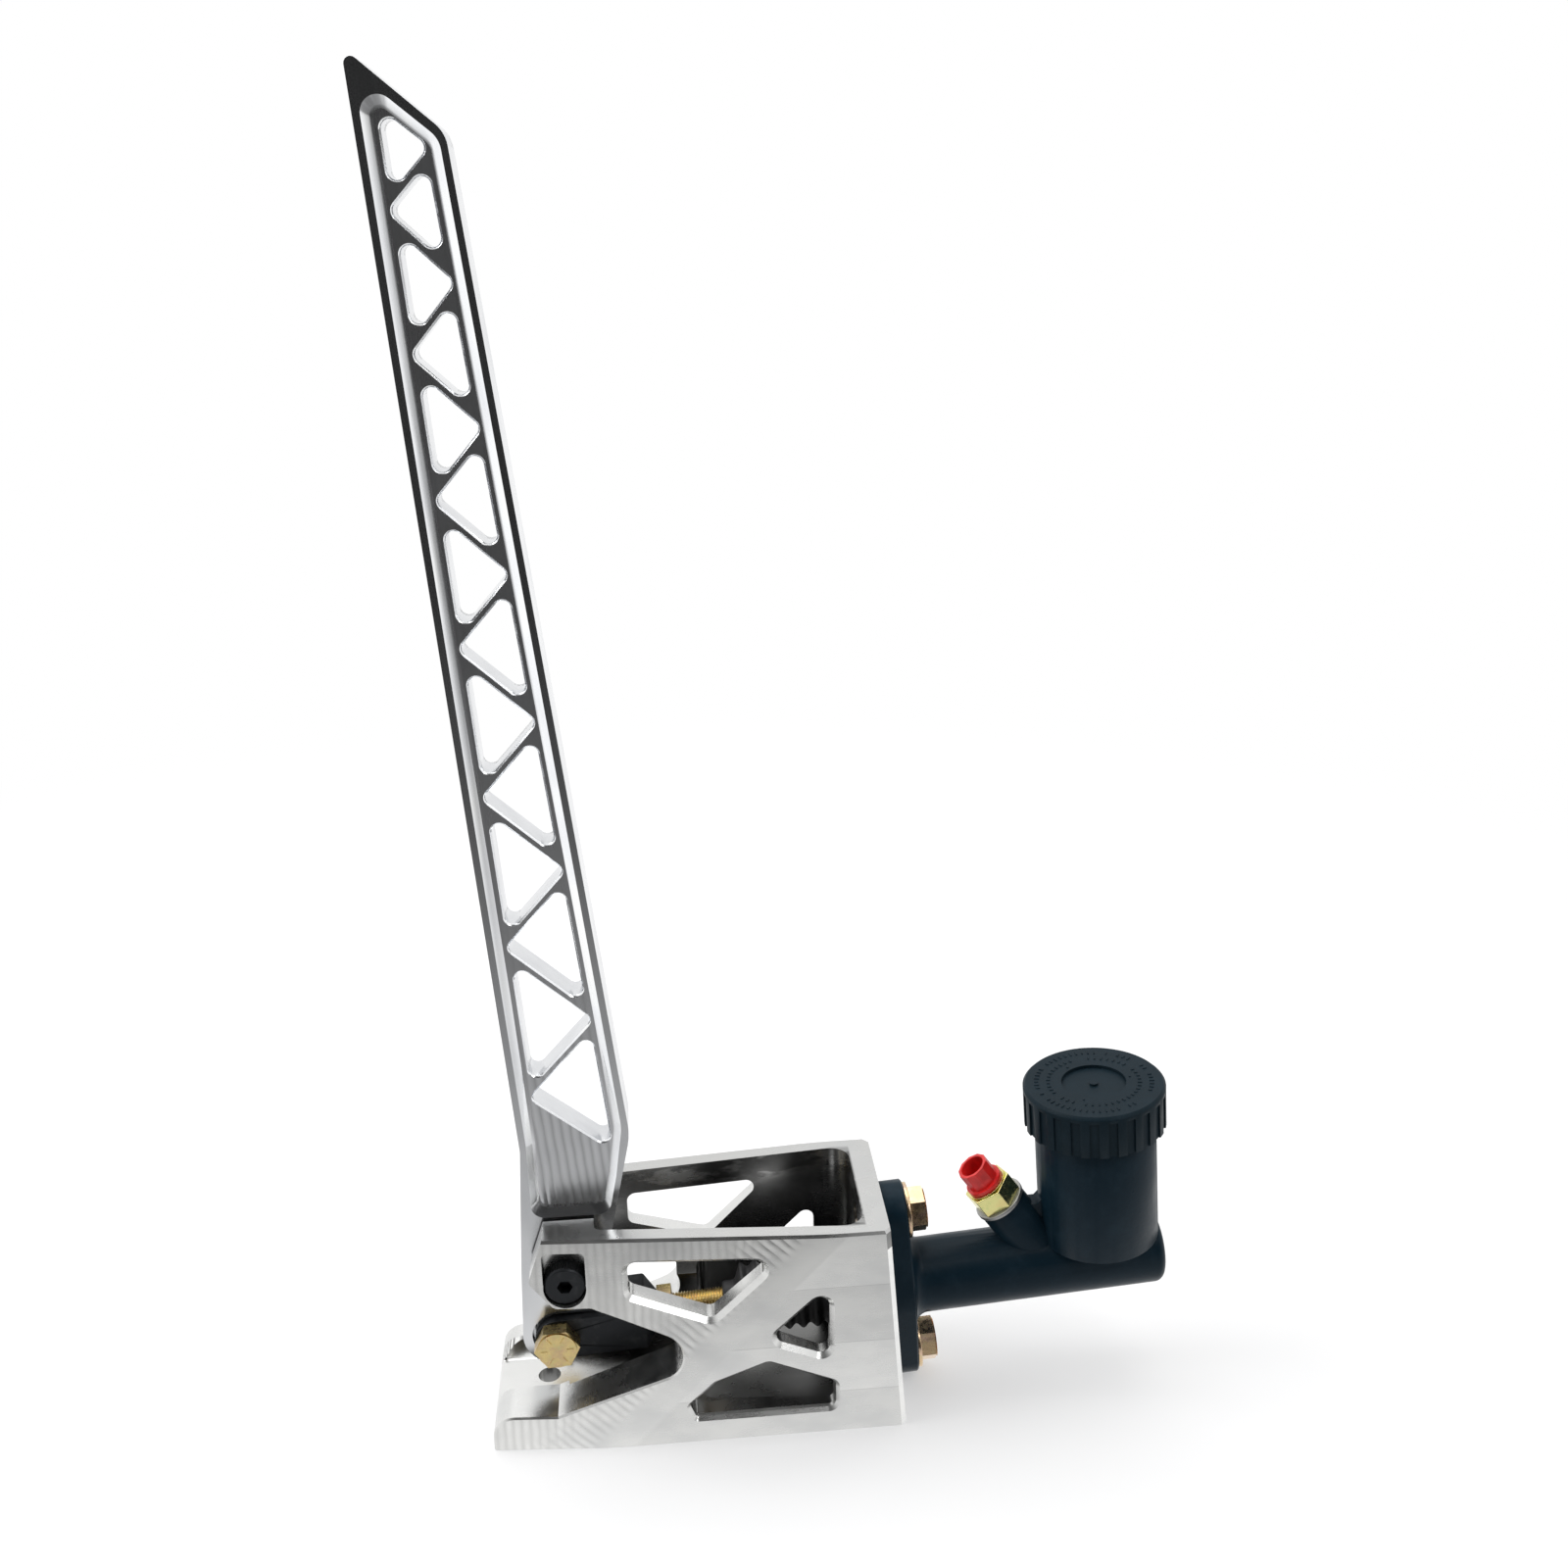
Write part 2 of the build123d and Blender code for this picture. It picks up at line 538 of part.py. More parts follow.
with BuildPart() as mc_body:
    with BuildSketch(across(0)):
        Circle(17.5)
        with Locations((0, BOLT_SPACING / 2), (0, -BOLT_SPACING / 2)):
            Circle(11.3)
        make_hull()
    extrude(amount=FLANGE_T)
    chamfer(mc_body.faces().sort_by(Axis.X)[-1].edges(), 0.6)
    with BuildSketch(across(NOSE_END)):
        Circle(NOSE_R)
    extrude(amount=-NOSE_END)
    # barrel, flaring into the flange and rounded at the closed end
    with BuildSketch(side(on_bore(0))):
        with BuildLine():
            Polyline((0, 0), (0, 17.3), (FLANGE_T, 17.3))
            RadiusArc((FLANGE_T, 17.3), (FLANGE_T + 4.6, TUBE_R), -5.0)
            Line((FLANGE_T + 4.6, TUBE_R), (TUBE_END - 3.5, TUBE_R))
            RadiusArc((TUBE_END - 3.5, TUBE_R), (TUBE_END, TUBE_R - 3.5), 3.5)
            Polyline((TUBE_END, TUBE_R - 3.5), (TUBE_END, 0), (0, 0))
        make_face()
    revolve(axis=Axis(on_bore(0), (C, 0, S)))
    with BuildSketch(upright(RES_X, RES_BOTTOM)):
        Circle(RES_R)
    extrude(amount=RES_NECK - RES_BOTTOM)
    with BuildSketch(upright(RES_X, RES_BOTTOM - 12)):
        Circle(TUBE_R - 0.4)
    extrude(amount=16)
    with BuildSketch(upright(RES_X, RES_NECK)):
        Circle(20.4)
    extrude(amount=RES_TOP - RES_NECK)
    with BuildSketch(on_outlet(0)):
        Circle(9.1)
    extrude(amount=-24)
    # web between the outlet boss and the reservoir
    with BuildSketch(side(on_bore(0))):
        with BuildLine():
            Polyline((48, 8), (51.0, 28.0), (53.5, 26.2), (57.0, 26.0), (59.6, 28.6), (62, 34), (64, 8), close=True)
        make_face()
    extrude(amount=3.2, both=True)
    # inside: bore, retaining groove, reservoir, feed and outlet passages
    with BuildSketch(across(NOSE_END)):
        Circle(BORE_R)
    extrude(amount=BORE_END - NOSE_END, mode=Mode.SUBTRACT)
    with BuildSketch(across(-14.5)):
        Circle(10.7)
    extrude(amount=1.4, mode=Mode.SUBTRACT)
    with BuildSketch(across(BORE_END)):
        Circle(2.0)
    extrude(amount=4.0, mode=Mode.SUBTRACT)
    with BuildSketch(upright(94.0, -1.0)):
        Circle(1.9)
    extrude(amount=30, mode=Mode.SUBTRACT)
    with BuildSketch(upright(RES_X, 18)):
        Circle(RES_R - RES_WALL)
    extrude(amount=RES_NECK - 18, mode=Mode.SUBTRACT)
    with BuildSketch(upright(RES_X, RES_NECK - 0.1)):
        Circle(17.4)
    extrude(amount=20, mode=Mode.SUBTRACT)
    with BuildSketch(on_outlet(0)):
        Circle(5.0)
    extrude(amount=-12, mode=Mode.SUBTRACT)
    with BuildSketch(on_outlet(-11)):
        Circle(1.8)
    extrude(amount=-20, mode=Mode.SUBTRACT)
    with BuildSketch(across(-1)):
        with Locations((0, BOLT_SPACING / 2), (0, -BOLT_SPACING / 2)):
            Circle(5.1)
    extrude(amount=14, mode=Mode.SUBTRACT)
save(mc_body.part, "mc_body")

# ---------------------------------------------------------------- inside the bore
PISTON_REAR = -11.3
with BuildPart() as piston:
    with BuildSketch(across(PISTON_REAR)):
        Circle(BORE_R - 0.05)
    extrude(amount=36)
    with BuildSketch(across(24.7)):
        Circle(4.5)
    extrude(amount=5.0)
    with BuildSketch(across(-7.0)):
        Circle(12)
        Circle(7.0, mode=Mode.SUBTRACT)
    extrude(amount=4.0, mode=Mode.SUBTRACT)
    with BuildSketch(across(0.5)):
        Circle(12)
        Circle(6.0, mode=Mode.SUBTRACT)
    extrude(amount=20.5, mode=Mode.SUBTRACT)
    with BuildSketch(across(PISTON_REAR)):
        Circle(5.1)
    extrude(amount=-0.8 - PISTON_REAR, mode=Mode.SUBTRACT)
save(piston.part, "piston")

save(ring(across(-6.9), BORE_R - 0.03, 7.05, 3.8), "secondary_cup")

with BuildPart() as primary_cup:
    with BuildSketch(across(24.8)):
        Circle(BORE_R - 0.03)
        Circle(4.55, mode=Mode.SUBTRACT)
    extrude(amount=4.8)
    with BuildSketch(across(26.6)):
        Circle(8.3)
        Circle(6.0, mode=Mode.SUBTRACT)
    extrude(amount=4.8, mode=Mode.SUBTRACT)
save(primary_cup.part, "primary_cup")

with BuildPart() as spring_thimble:
    with BuildSketch(across(29.75)):
        Circle(8.6)
    extrude(amount=1.0)
    with BuildSketch(across(30.7)):
        Circle(5.7)
    extrude(amount=20.3)
    with BuildSketch(across(29.75)):
        Circle(4.8)
    extrude(amount=20.25, mode=Mode.SUBTRACT)
    with BuildSketch(across(29.75)):
        Circle(1.9)
    extrude(amount=30, mode=Mode.SUBTRACT)
save(spring_thimble.part, "spring_thimble")

with BuildPart() as valve_stem:
    with BuildSketch(across(48.1)):
        Circle(4.3)
    extrude(amount=1.6)
    with BuildSketch(across(49.7)):
        Circle(1.5)
    extrude(amount=39.7)
save(valve_stem.part, "valve_stem")

save(ring(across(89.5), 5.0, 0.6, 1.8), "valve_seal")

with BuildPart() as valve_spacer:
    with BuildSketch(across(82)):
        Circle(9.0)
    extrude(amount=2.0)
    with BuildSketch(across(84)):
        Circle(7.6)
    extrude(amount=7.9)
    with BuildSketch(across(84)):
        Circle(6.2)
    extrude(amount=8.0, mode=Mode.SUBTRACT)
    with BuildSketch(across(82)):
        Circle(1.9)
    extrude(amount=3, mode=Mode.SUBTRACT)
save(valve_spacer.part, "valve_spacer")

SPRING_FROM, SPRING_TO, SPRING_R, WIRE_R = 31.6, 81.1, 7.2, 0.75
with BuildPart() as return_spring:
    with BuildLine():
        coil = Helix(
            pitch=(SPRING_TO - SPRING_FROM) / 9,
            height=SPRING_TO - SPRING_FROM,
            radius=SPRING_R,
            center=on_bore(SPRING_FROM),
            direction=(C, 0, S),
        )
    with BuildSketch(Plane(origin=coil @ 0, z_dir=coil % 0)):
        Circle(WIRE_R)
    sweep(path=coil, is_frenet=True)
save(return_spring.part, "return_spring")

save(ring(across(-13.0), BORE_R - 0.1, 6.4, 1.5), "stop_washer")

with BuildPart() as snap_ring:
    with BuildSketch(across(-14.4)):
        Circle(10.6)
        Circle(7.9, mode=Mode.SUBTRACT)
        with Locations((0, -9)):
            Rectangle(6, 8, mode=Mode.SUBTRACT)
    extrude(amount=1.2)
save(snap_ring.part, "snap_ring")

# ---------------------------------------------------------------- flange fasteners
with BuildPart() as flange_washers:
    with BuildSketch(across(FLANGE_T)):
        with Locations((0, BOLT_SPACING / 2), (0, -BOLT_SPACING / 2)):
            Circle(10.0)
            Circle(5.0, mode=Mode.SUBTRACT)
    extrude(amount=1.6)
save(flange_washers.part, "flange_washers")

with BuildPart() as flange_bolts:
    with BuildSketch(across(FLANGE_T + 1.6)):
        with Locations((0, BOLT_SPACING / 2), (0, -BOLT_SPACING / 2)):
            RegularPolygon(HEX_3_8 / 2, 6, major_radius=False, rotation=12)
    extrude(amount=6.0)
    with BuildSketch(across(FLANGE_T + 7.6)):
        with Locations((0, BOLT_SPACING / 2), (0, -BOLT_SPACING / 2)):
            Circle(12)
            Circle(HEX_3_8 / 2 - 0.1, mode=Mode.SUBTRACT)
    extrude(amount=-0.5, taper=-60, mode=Mode.SUBTRACT)
    with BuildSketch(across(FLANGE_T + 1.6)):
        with Locations((0, BOLT_SPACING / 2), (0, -BOLT_SPACING / 2)):
            Circle(THREE_EIGHTHS)
    extrude(amount=-(FLANGE_T + 1.6 + 8.5))
save(flange_bolts.part, "flange_bolts")

# ---------------------------------------------------------------- reservoir cap and diaphragm
GRIPS = 24
with BuildPart() as reservoir_cap:
    with BuildSketch(upright(RES_X, CAP_BOTTOM)):
        Circle(CAP_R)
        with PolarLocations(CAP_R + 0.2, GRIPS):
            Rectangle(1.8, 3.3, mode=Mode.SUBTRACT)
    extrude(amount=CAP_TOP - CAP_BOTTOM - 2.4)
    with BuildSketch(upright(RES_X, CAP_TOP - 2.4)):
        Circle(CAP_R)
    extrude(amount=2.4)
    chamfer(reservoir_cap.faces().sort_by(Axis.Z)[-1].edges(), 1.0)
    with BuildSketch(upright(RES_X, CAP_TOP)):
        Circle(11.5)
    extrude(amount=-1.2, mode=Mode.SUBTRACT)
    with BuildSketch(upright(RES_X, CAP_TOP - 1.2)):
        Circle(1.6)
    extrude(amount=0.8)
    with BuildSketch(upright(RES_X, CAP_BOTTOM - 0.5)):
        Circle(RES_R + 0.4)
    extrude(amount=1.9, mode=Mode.SUBTRACT)
    with BuildSketch(upright(RES_X, CAP_BOTTOM)):
        Circle(20.75)
    extrude(amount=RES_TOP + 1.5 - CAP_BOTTOM, mode=Mode.SUBTRACT)
save(reservoir_cap.part, "reservoir_cap")

with BuildPart() as diaphragm:
    with BuildSketch(upright(RES_X, RES_TOP)):
        Circle(20.2)
    extrude(amount=1.2)
    with BuildSketch(upright(RES_X, RES_TOP)):
        Circle(16.6)
    extrude(amount=-14, taper=6)
    with BuildSketch(upright(RES_X, RES_TOP + 1.2)):
        Circle(15.4)
    extrude(amount=-14, taper=6, mode=Mode.SUBTRACT)
save(diaphragm.part, "diaphragm")

# ---------------------------------------------------------------- outlet
save(ring(on_outlet(0.0), 9.6, 5.2, 1.6), "outlet_washer")

with BuildPart() as outlet_adapter:
    with BuildSketch(on_outlet(1.6)):
        RegularPolygon(7.94, 6, major_radius=False, rotation=18)
    extrude(amount=8.4)
    with BuildSketch(on_outlet(10.0)):
        Circle(14)
        Circle(7.9, mode=Mode.SUBTRACT)
    extrude(amount=-0.7, taper=-60, mode=Mode.SUBTRACT)
    with BuildSketch(on_outlet(1.6)):
        Circle(4.9)
    extrude(amount=-11.0)
    with BuildSketch(on_outlet(10.0)):
        Circle(4.9)
    extrude(amount=-7.5, mode=Mode.SUBTRACT)
    with BuildSketch(on_outlet(10.0)):
        Circle(1.7)
    extrude(amount=-22.0, mode=Mode.SUBTRACT)
save(outlet_adapter.part, "outlet_adapter")

with BuildPart() as outlet_plug:
    with BuildSketch(on_outlet(2.6)):
        Circle(4.85)
    extrude(amount=7.5)
    with BuildSketch(on_outlet(10.1)):
        Circle(7.0)
    extrude(amount=1.6)
    with BuildSketch(on_outlet(11.7)):
        RegularPolygon(5.6, 10, major_radius=False)
    extrude(amount=7.2)
    with BuildSketch(on_outlet(18.9)):
        Circle(4.6)
    extrude(amount=-12.5, taper=1.5, mode=Mode.SUBTRACT)
save(outlet_plug.part, "outlet_plug")
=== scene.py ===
"""Looks for an upright hydraulic handbrake: billet lever, billet bracket and a black master cylinder.

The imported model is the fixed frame. Its nodes keep their shapes and get materials and broken edges, and a
few detailed pieces, such as the threaded pushrod and the knurled screw head, are built here.
"""
import json
import random
from math import cos, pi, radians, sin

import bmesh
import bpy
from mathutils import Matrix, Vector


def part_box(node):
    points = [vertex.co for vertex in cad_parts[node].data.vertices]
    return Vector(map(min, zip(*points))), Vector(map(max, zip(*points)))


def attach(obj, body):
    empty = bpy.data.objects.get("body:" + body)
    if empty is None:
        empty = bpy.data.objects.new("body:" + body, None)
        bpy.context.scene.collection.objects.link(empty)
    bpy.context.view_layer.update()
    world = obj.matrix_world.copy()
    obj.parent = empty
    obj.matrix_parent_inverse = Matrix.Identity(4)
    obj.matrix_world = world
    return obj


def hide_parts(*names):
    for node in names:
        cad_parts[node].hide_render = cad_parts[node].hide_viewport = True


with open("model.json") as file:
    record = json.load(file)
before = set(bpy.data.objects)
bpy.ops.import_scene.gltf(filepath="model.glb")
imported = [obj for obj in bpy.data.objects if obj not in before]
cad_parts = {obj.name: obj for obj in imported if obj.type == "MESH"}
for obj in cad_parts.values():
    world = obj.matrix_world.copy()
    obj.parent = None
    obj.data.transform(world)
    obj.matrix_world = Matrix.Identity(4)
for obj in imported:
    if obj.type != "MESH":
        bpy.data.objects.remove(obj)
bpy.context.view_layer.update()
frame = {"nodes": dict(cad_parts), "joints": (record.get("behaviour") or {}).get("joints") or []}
nodes = frame["nodes"]
joints = {j["name"]: j for j in frame["joints"]}
MM = 0.001

BORE = Vector(joints["piston_slide"]["axis"]).normalized()        # along the cylinder, away from the lever
UP = Vector(joints["cap_lift"]["axis"]).normalized()              # along the reservoir
PIVOT = Vector(joints["lever_pull"]["pos_m"])
PIN = Vector(joints["clevis_turn"]["pos_m"])
ACROSS = Vector((0, 1, 0))


# ------------------------------------------------------------------ node graphs
class Look:
    """A material under construction. Sizes in its graph are in millimetres of the part's own frame."""

    def __init__(self, name, colour, metallic=0.0, roughness=0.5, specular=0.5):
        self.material = bpy.data.materials.new(name)
        self.material.use_nodes = True
        self.tree = self.material.node_tree
        self.shader = self.tree.nodes["Principled BSDF"]
        self.shader.inputs["Base Color"].default_value = (*colour, 1)
        self.shader.inputs["Metallic"].default_value = metallic
        self.shader.inputs["Roughness"].default_value = roughness
        self.shader.inputs["Specular IOR Level"].default_value = specular
        coordinates = self.tree.nodes.new("ShaderNodeTexCoord")
        self.normal = coordinates.outputs["Normal"]
        self.place = self.vector("SCALE", coordinates.outputs["Object"], scale=1000.0)
        split = self.tree.nodes.new("ShaderNodeSeparateXYZ")
        self.tree.links.new(self.place, split.inputs[0])
        self.x, self.y, self.z = split.outputs

    def feed(self, socket, value):
        if isinstance(value, bpy.types.NodeSocket):
            self.tree.links.new(value, socket)
        elif value is not None:
            socket.default_value = value

    def math(self, operation, first, second=None, third=None):
        node = self.tree.nodes.new("ShaderNodeMath")
        node.operation = operation
        for socket, value in zip(node.inputs, (first, second, third)):
            self.feed(socket, value)
        return node.outputs[0]

    def vector(self, operation, first, second=None, scale=None):
        node = self.tree.nodes.new("ShaderNodeVectorMath")
        node.operation = operation
        self.feed(node.inputs[0], first)
        self.feed(node.inputs[1], second)
        if scale is not None:
            self.feed(node.inputs["Scale"], scale)
        return node.outputs["Value" if operation in ("DOT_PRODUCT", "LENGTH") else "Vector"]

    def step(self, value, low, high):
        """0 below low, 1 above high, smooth between."""
        node = self.tree.nodes.new("ShaderNodeMapRange")
        node.interpolation_type = "SMOOTHSTEP"
        self.feed(node.inputs["Value"], value)
        self.feed(node.inputs["From Min"], low)
        self.feed(node.inputs["From Max"], high)
        return node.outputs["Result"]

    def span(self, value, low, high, to_low, to_high):
        """Maps low..high to to_low..to_high."""
        node = self.tree.nodes.new("ShaderNodeMapRange")
        for name, number in zip(("From Min", "From Max", "To Min", "To Max"), (low, high, to_low, to_high)):
            self.feed(node.inputs[name], number)
        self.feed(node.inputs["Value"], value)
        return node.outputs["Result"]

    def noise(self, size, detail=2.0, stretch=(1, 1, 1), rough=0.5):
        """Noise whose blobs are about size millimetres across, stretched along the axes."""
        node = self.tree.nodes.new("ShaderNodeTexNoise")
        scaled = self.vector("MULTIPLY", self.place, tuple(1 / s for s in stretch))
        self.feed(node.inputs["Vector"], scaled)
        node.inputs["Scale"].default_value = 1.0 / size
        node.inputs["Detail"].default_value = detail
        node.inputs["Roughness"].default_value = rough
        return node.outputs["Fac"]

    def scallops(self, across, pitch):
        """Rounded grooves of a ball-nosed cutter, one every pitch millimetres of the value across."""
        turn = self.math("MULTIPLY", across, pi / pitch)
        return self.math("ABSOLUTE", self.math("SINE", turn))

    def mix(self, factor, first, second):
        """Mixes two numbers."""
        node = self.tree.nodes.new("ShaderNodeMix")
        self.feed(node.inputs["Factor"], factor)
        self.feed(node.inputs[2], first)
        self.feed(node.inputs[3], second)
        return node.outputs[0]

    def blend(self, factor, first, second):
        """Mixes two colours."""
        node = self.tree.nodes.new("ShaderNodeMix")
        node.data_type = "RGBA"
        self.feed(node.inputs["Factor"], factor)
        for socket, value in ((node.inputs[6], first), (node.inputs[7], second)):
            self.feed(socket, (*value, 1) if isinstance(value, tuple) else value)
        return node.outputs[2]

    def times(self, first, *others):
        """Product of several numbers."""
        for other in others:
            first = self.math("MULTIPLY", first, other)
        return first

    def flip(self, value):
        """1 where the value is 0, and 0 where it is 1."""
        return self.math("SUBTRACT", 1.0, value)

    def between(self, value, rise, fall):
        """1 between two smooth steps, each given as a pair of values, and 0 outside them."""
        return self.times(self.step(value, *rise), self.flip(self.step(value, *fall)))

    def shade(self, colour, where, amount):
        """Multiplies a colour by a number where a mask is 1."""
        return self.vector("SCALE", colour, scale=self.mix(where, 1.0, amount))

    def bump(self, height, depth, under=None):
        """Bump whose height of 1 stands depth millimetres out."""
        node = self.tree.nodes.new("ShaderNodeBump")
        node.inputs["Distance"].default_value = depth * MM
        self.feed(node.inputs["Height"], height)
        self.feed(node.inputs["Normal"], under)
        return node.outputs["Normal"]

    def finish(self, colour=None, roughness=None, bump=None, **constants):
        self.feed(self.shader.inputs["Base Color"], colour)
        self.feed(self.shader.inputs["Roughness"], roughness)
        self.feed(self.shader.inputs["Normal"], bump)
        for name, number in constants.items():
            self.shader.inputs[name.replace("_", " ")].default_value = number
        return self.material


# ------------------------------------------------------------------ materials
BRIGHT = (0.77, 0.77, 0.755)
GREY = (0.68, 0.685, 0.68)
CREASE_X, CREASE_LEAN, CREASE_W = 21.2, radians(43.56), 10.9       # the bracket's slanting crease
STEP_HEIGHTS = (60.7, 37.6, 17.0)                                  # where one milling pass meets the next
PASS_TONES = (0.90, 1.0, 0.93, 1.05)                               # tone of each pass, from the bottom up
CREASE_ACROSS = (-cos(CREASE_LEAN), 0, sin(CREASE_LEAN))
CREASE_ALONG = (sin(CREASE_LEAN), 0, cos(CREASE_LEAN))
SCALLOP_PITCH, CREASE_PITCH, RELIEF_PITCH = 3.0, 3.1, 0.8          # steps that the cutter left
TOP_Z, CORNER_X = 74.6, 104.5                                      # above the windows, past the sides' end


def bracket_faces(look):
    """Masks of the bracket's faces, from where they lie and which way they face."""
    sideways = look.vector("DOT_PRODUCT", look.normal, (0, 1, 0))
    upwards = look.vector("DOT_PRODUCT", look.normal, (0, 0, 1))
    wall = look.math("ABSOLUTE", look.y)
    outwards = look.times(sideways, look.math("SIGN", look.y))
    past = look.vector("DOT_PRODUCT", look.place, CREASE_ACROSS)
    past = look.math("ADD", past, CREASE_X * cos(CREASE_LEAN))
    side = look.times(look.step(outwards, 0.93, 0.97), look.step(wall, 20.6, 21.4))
    slanting = look.between(outwards, (0.5, 0.6), (0.82, 0.9))
    top_edge = look.times(slanting, look.step(look.z, TOP_Z, TOP_Z + 0.3))
    end_face = look.between(look.x, (95.0, 99.0), (104.8, 105.5))
    end_face = look.times(end_face, look.flip(look.step(wall, 24.0, 26.0)))
    floor = look.times(look.step(upwards, 0.8, 0.95), look.flip(look.step(look.z, 20, 24)))
    relief = look.times(look.step(look.times(look.x, -1.0), 3.0, 4.0), look.step(look.y, 9.5, 10.5))
    return {
        "past": past,
        "side": side,
        "thinned": look.times(look.step(past, CREASE_W - 2.0, CREASE_W + 2.0), side),
        "plain": look.times(look.flip(look.step(past, -1.0, 1.0)), side),
        "band": look.times(look.between(past, (-0.5, 0.5), (CREASE_W - 1.0, CREASE_W + 1.0)), side),
        "relief": look.times(relief, look.flip(look.step(wall, 18.0, 19.5))),
        "top_face": look.times(look.step(upwards, 0.85, 0.95), look.step(look.z, 60.0, 66.0)),
        "top_edge": top_edge,
        "corner": look.times(slanting, look.step(look.x, CORNER_X, CORNER_X + 0.5), look.flip(top_edge)),
        "inside": look.math("MAXIMUM", look.flip(look.step(outwards, -0.8, -0.5)), end_face),
        "floor": look.times(floor, look.step(look.x, -6.0, 14.0)),
    }


def pass_tones(look):
    """Tone of each milling pass, and a thin ridge where one pass meets the next."""
    tone, seam = PASS_TONES[0], 0.0
    for height, after in zip(reversed(STEP_HEIGHTS), PASS_TONES[1:]):
        tone = look.mix(look.step(look.z, height - 0.15, height + 0.15), tone, after)
        distance = look.math("ABSOLUTE", look.math("SUBTRACT", look.z, height))
        seam = look.math("ADD", seam, look.flip(look.step(distance, 0, 0.3)))
    return tone, seam


def bracket_scallops(look, past):
    """Grooves across the crease near it, and upright ones farther away."""
    along = look.vector("DOT_PRODUCT", look.place, CREASE_ALONG)
    wander = look.noise(9.0, 1.0)
    near_crease = look.scallops(look.math("ADD", along, wander), CREASE_PITCH)
    upright = look.scallops(look.math("ADD", look.x, wander), SCALLOP_PITCH)
    fade = look.span(look.noise(7.0, 2.0, stretch=(1, 1, 2)), 0.35, 0.65, 0.5, 1.0)
    return look.times(look.mix(look.step(past, 17, 30), near_crease, upright), fade)


def bracket_metal():
    """Milled billet, bright outside with the cutter's passes. Its colour carries painted shade inside the
    channel, and painted light and shade on its faces, edges and grooves.
    """
    look = Look("milled_bracket", BRIGHT, metallic=1.0, roughness=0.3)
    face = bracket_faces(look)
    grooves = bracket_scallops(look, face["past"])
    tone, seam = pass_tones(look)
    steps = look.scallops(look.z, RELIEF_PITCH)
    feed_marks = look.noise(0.5, 2.0, stretch=(14, 14, 1))
    fine = look.noise(0.35, 2.0, stretch=(9, 1, 1))
    normal = look.bump(look.mix(0.5, feed_marks, fine), 0.010)
    normal = look.bump(look.times(seam, face["plain"]), 0.02, normal)
    normal = look.bump(look.times(steps, face["relief"]), 0.22, normal)
    normal = look.bump(look.times(grooves, face["thinned"]), 0.14, normal)
    smears = look.noise(16.0, 3.0, stretch=(2.0, 1, 1), rough=0.6)
    rough = look.span(smears, 0.3, 0.75, 0.19, 0.36)
    rough = look.math("ADD", rough, look.times(look.math("SUBTRACT", feed_marks, 0.5), 0.10))
    colour = look.blend(look.step(smears, 0.35, 0.75), BRIGHT, GREY)
    patches = look.step(look.noise(9.0, 4.0, stretch=(2.2, 1, 0.8), rough=0.6), 0.50, 0.58)
    # Painted shade inside the channel: faces turned inwards are darkened to about a quarter, and only to 0.62
    # in patches near the top.
    patched = look.times(patches, look.step(look.z, 69.0, 76.0))
    film_and_shade = look.mix(patched, look.span(look.noise(14.0, 3.0), 0.3, 0.7, 0.20, 0.36), 0.62)
    shades = (
        (face["plain"], tone),
        (look.times(seam, face["plain"]), 0.86),
        # painted shade on the slanting band along the crease
        (face["band"], 0.97),
        # painted light: the outer side faces are made brighter
        (face["side"], 1.08),
        # painted shade on the upward faces high up
        (face["top_face"], 0.78),
        # painted shade in the grooves of the relief's steps, painted highlight on their ridges
        (face["relief"], look.span(steps, 0.3, 0.7, 0.22, 1.15)),
        # painted shade in the scallops' troughs, painted highlight on their crests
        (face["thinned"], look.span(grooves, 0.2, 0.95, 0.90, 1.09)),
        # painted shade: a dark line along the top outer chamfer
        (face["top_edge"], 0.34),
        # painted highlight on the slanting chamfer at the end corner
        (face["corner"], 1.22),
        # painted shade on the faces inside the channel
        (face["inside"], film_and_shade),
        # painted shade on the channel's floor, darker under the boot
        (face["floor"], look.span(look.x, 50.0, 70.0, 0.42, 0.26)),
    )
    for where, amount in shades:
        colour = look.shade(colour, where, amount)
    return look.finish(colour, rough, normal)


LEVER_LEAN = radians(4.9)                                          # how far the lever leans back at rest
WEB_Y, RIM_Y = 6.4, 7.2                                            # the web lies nearer, the rims farther


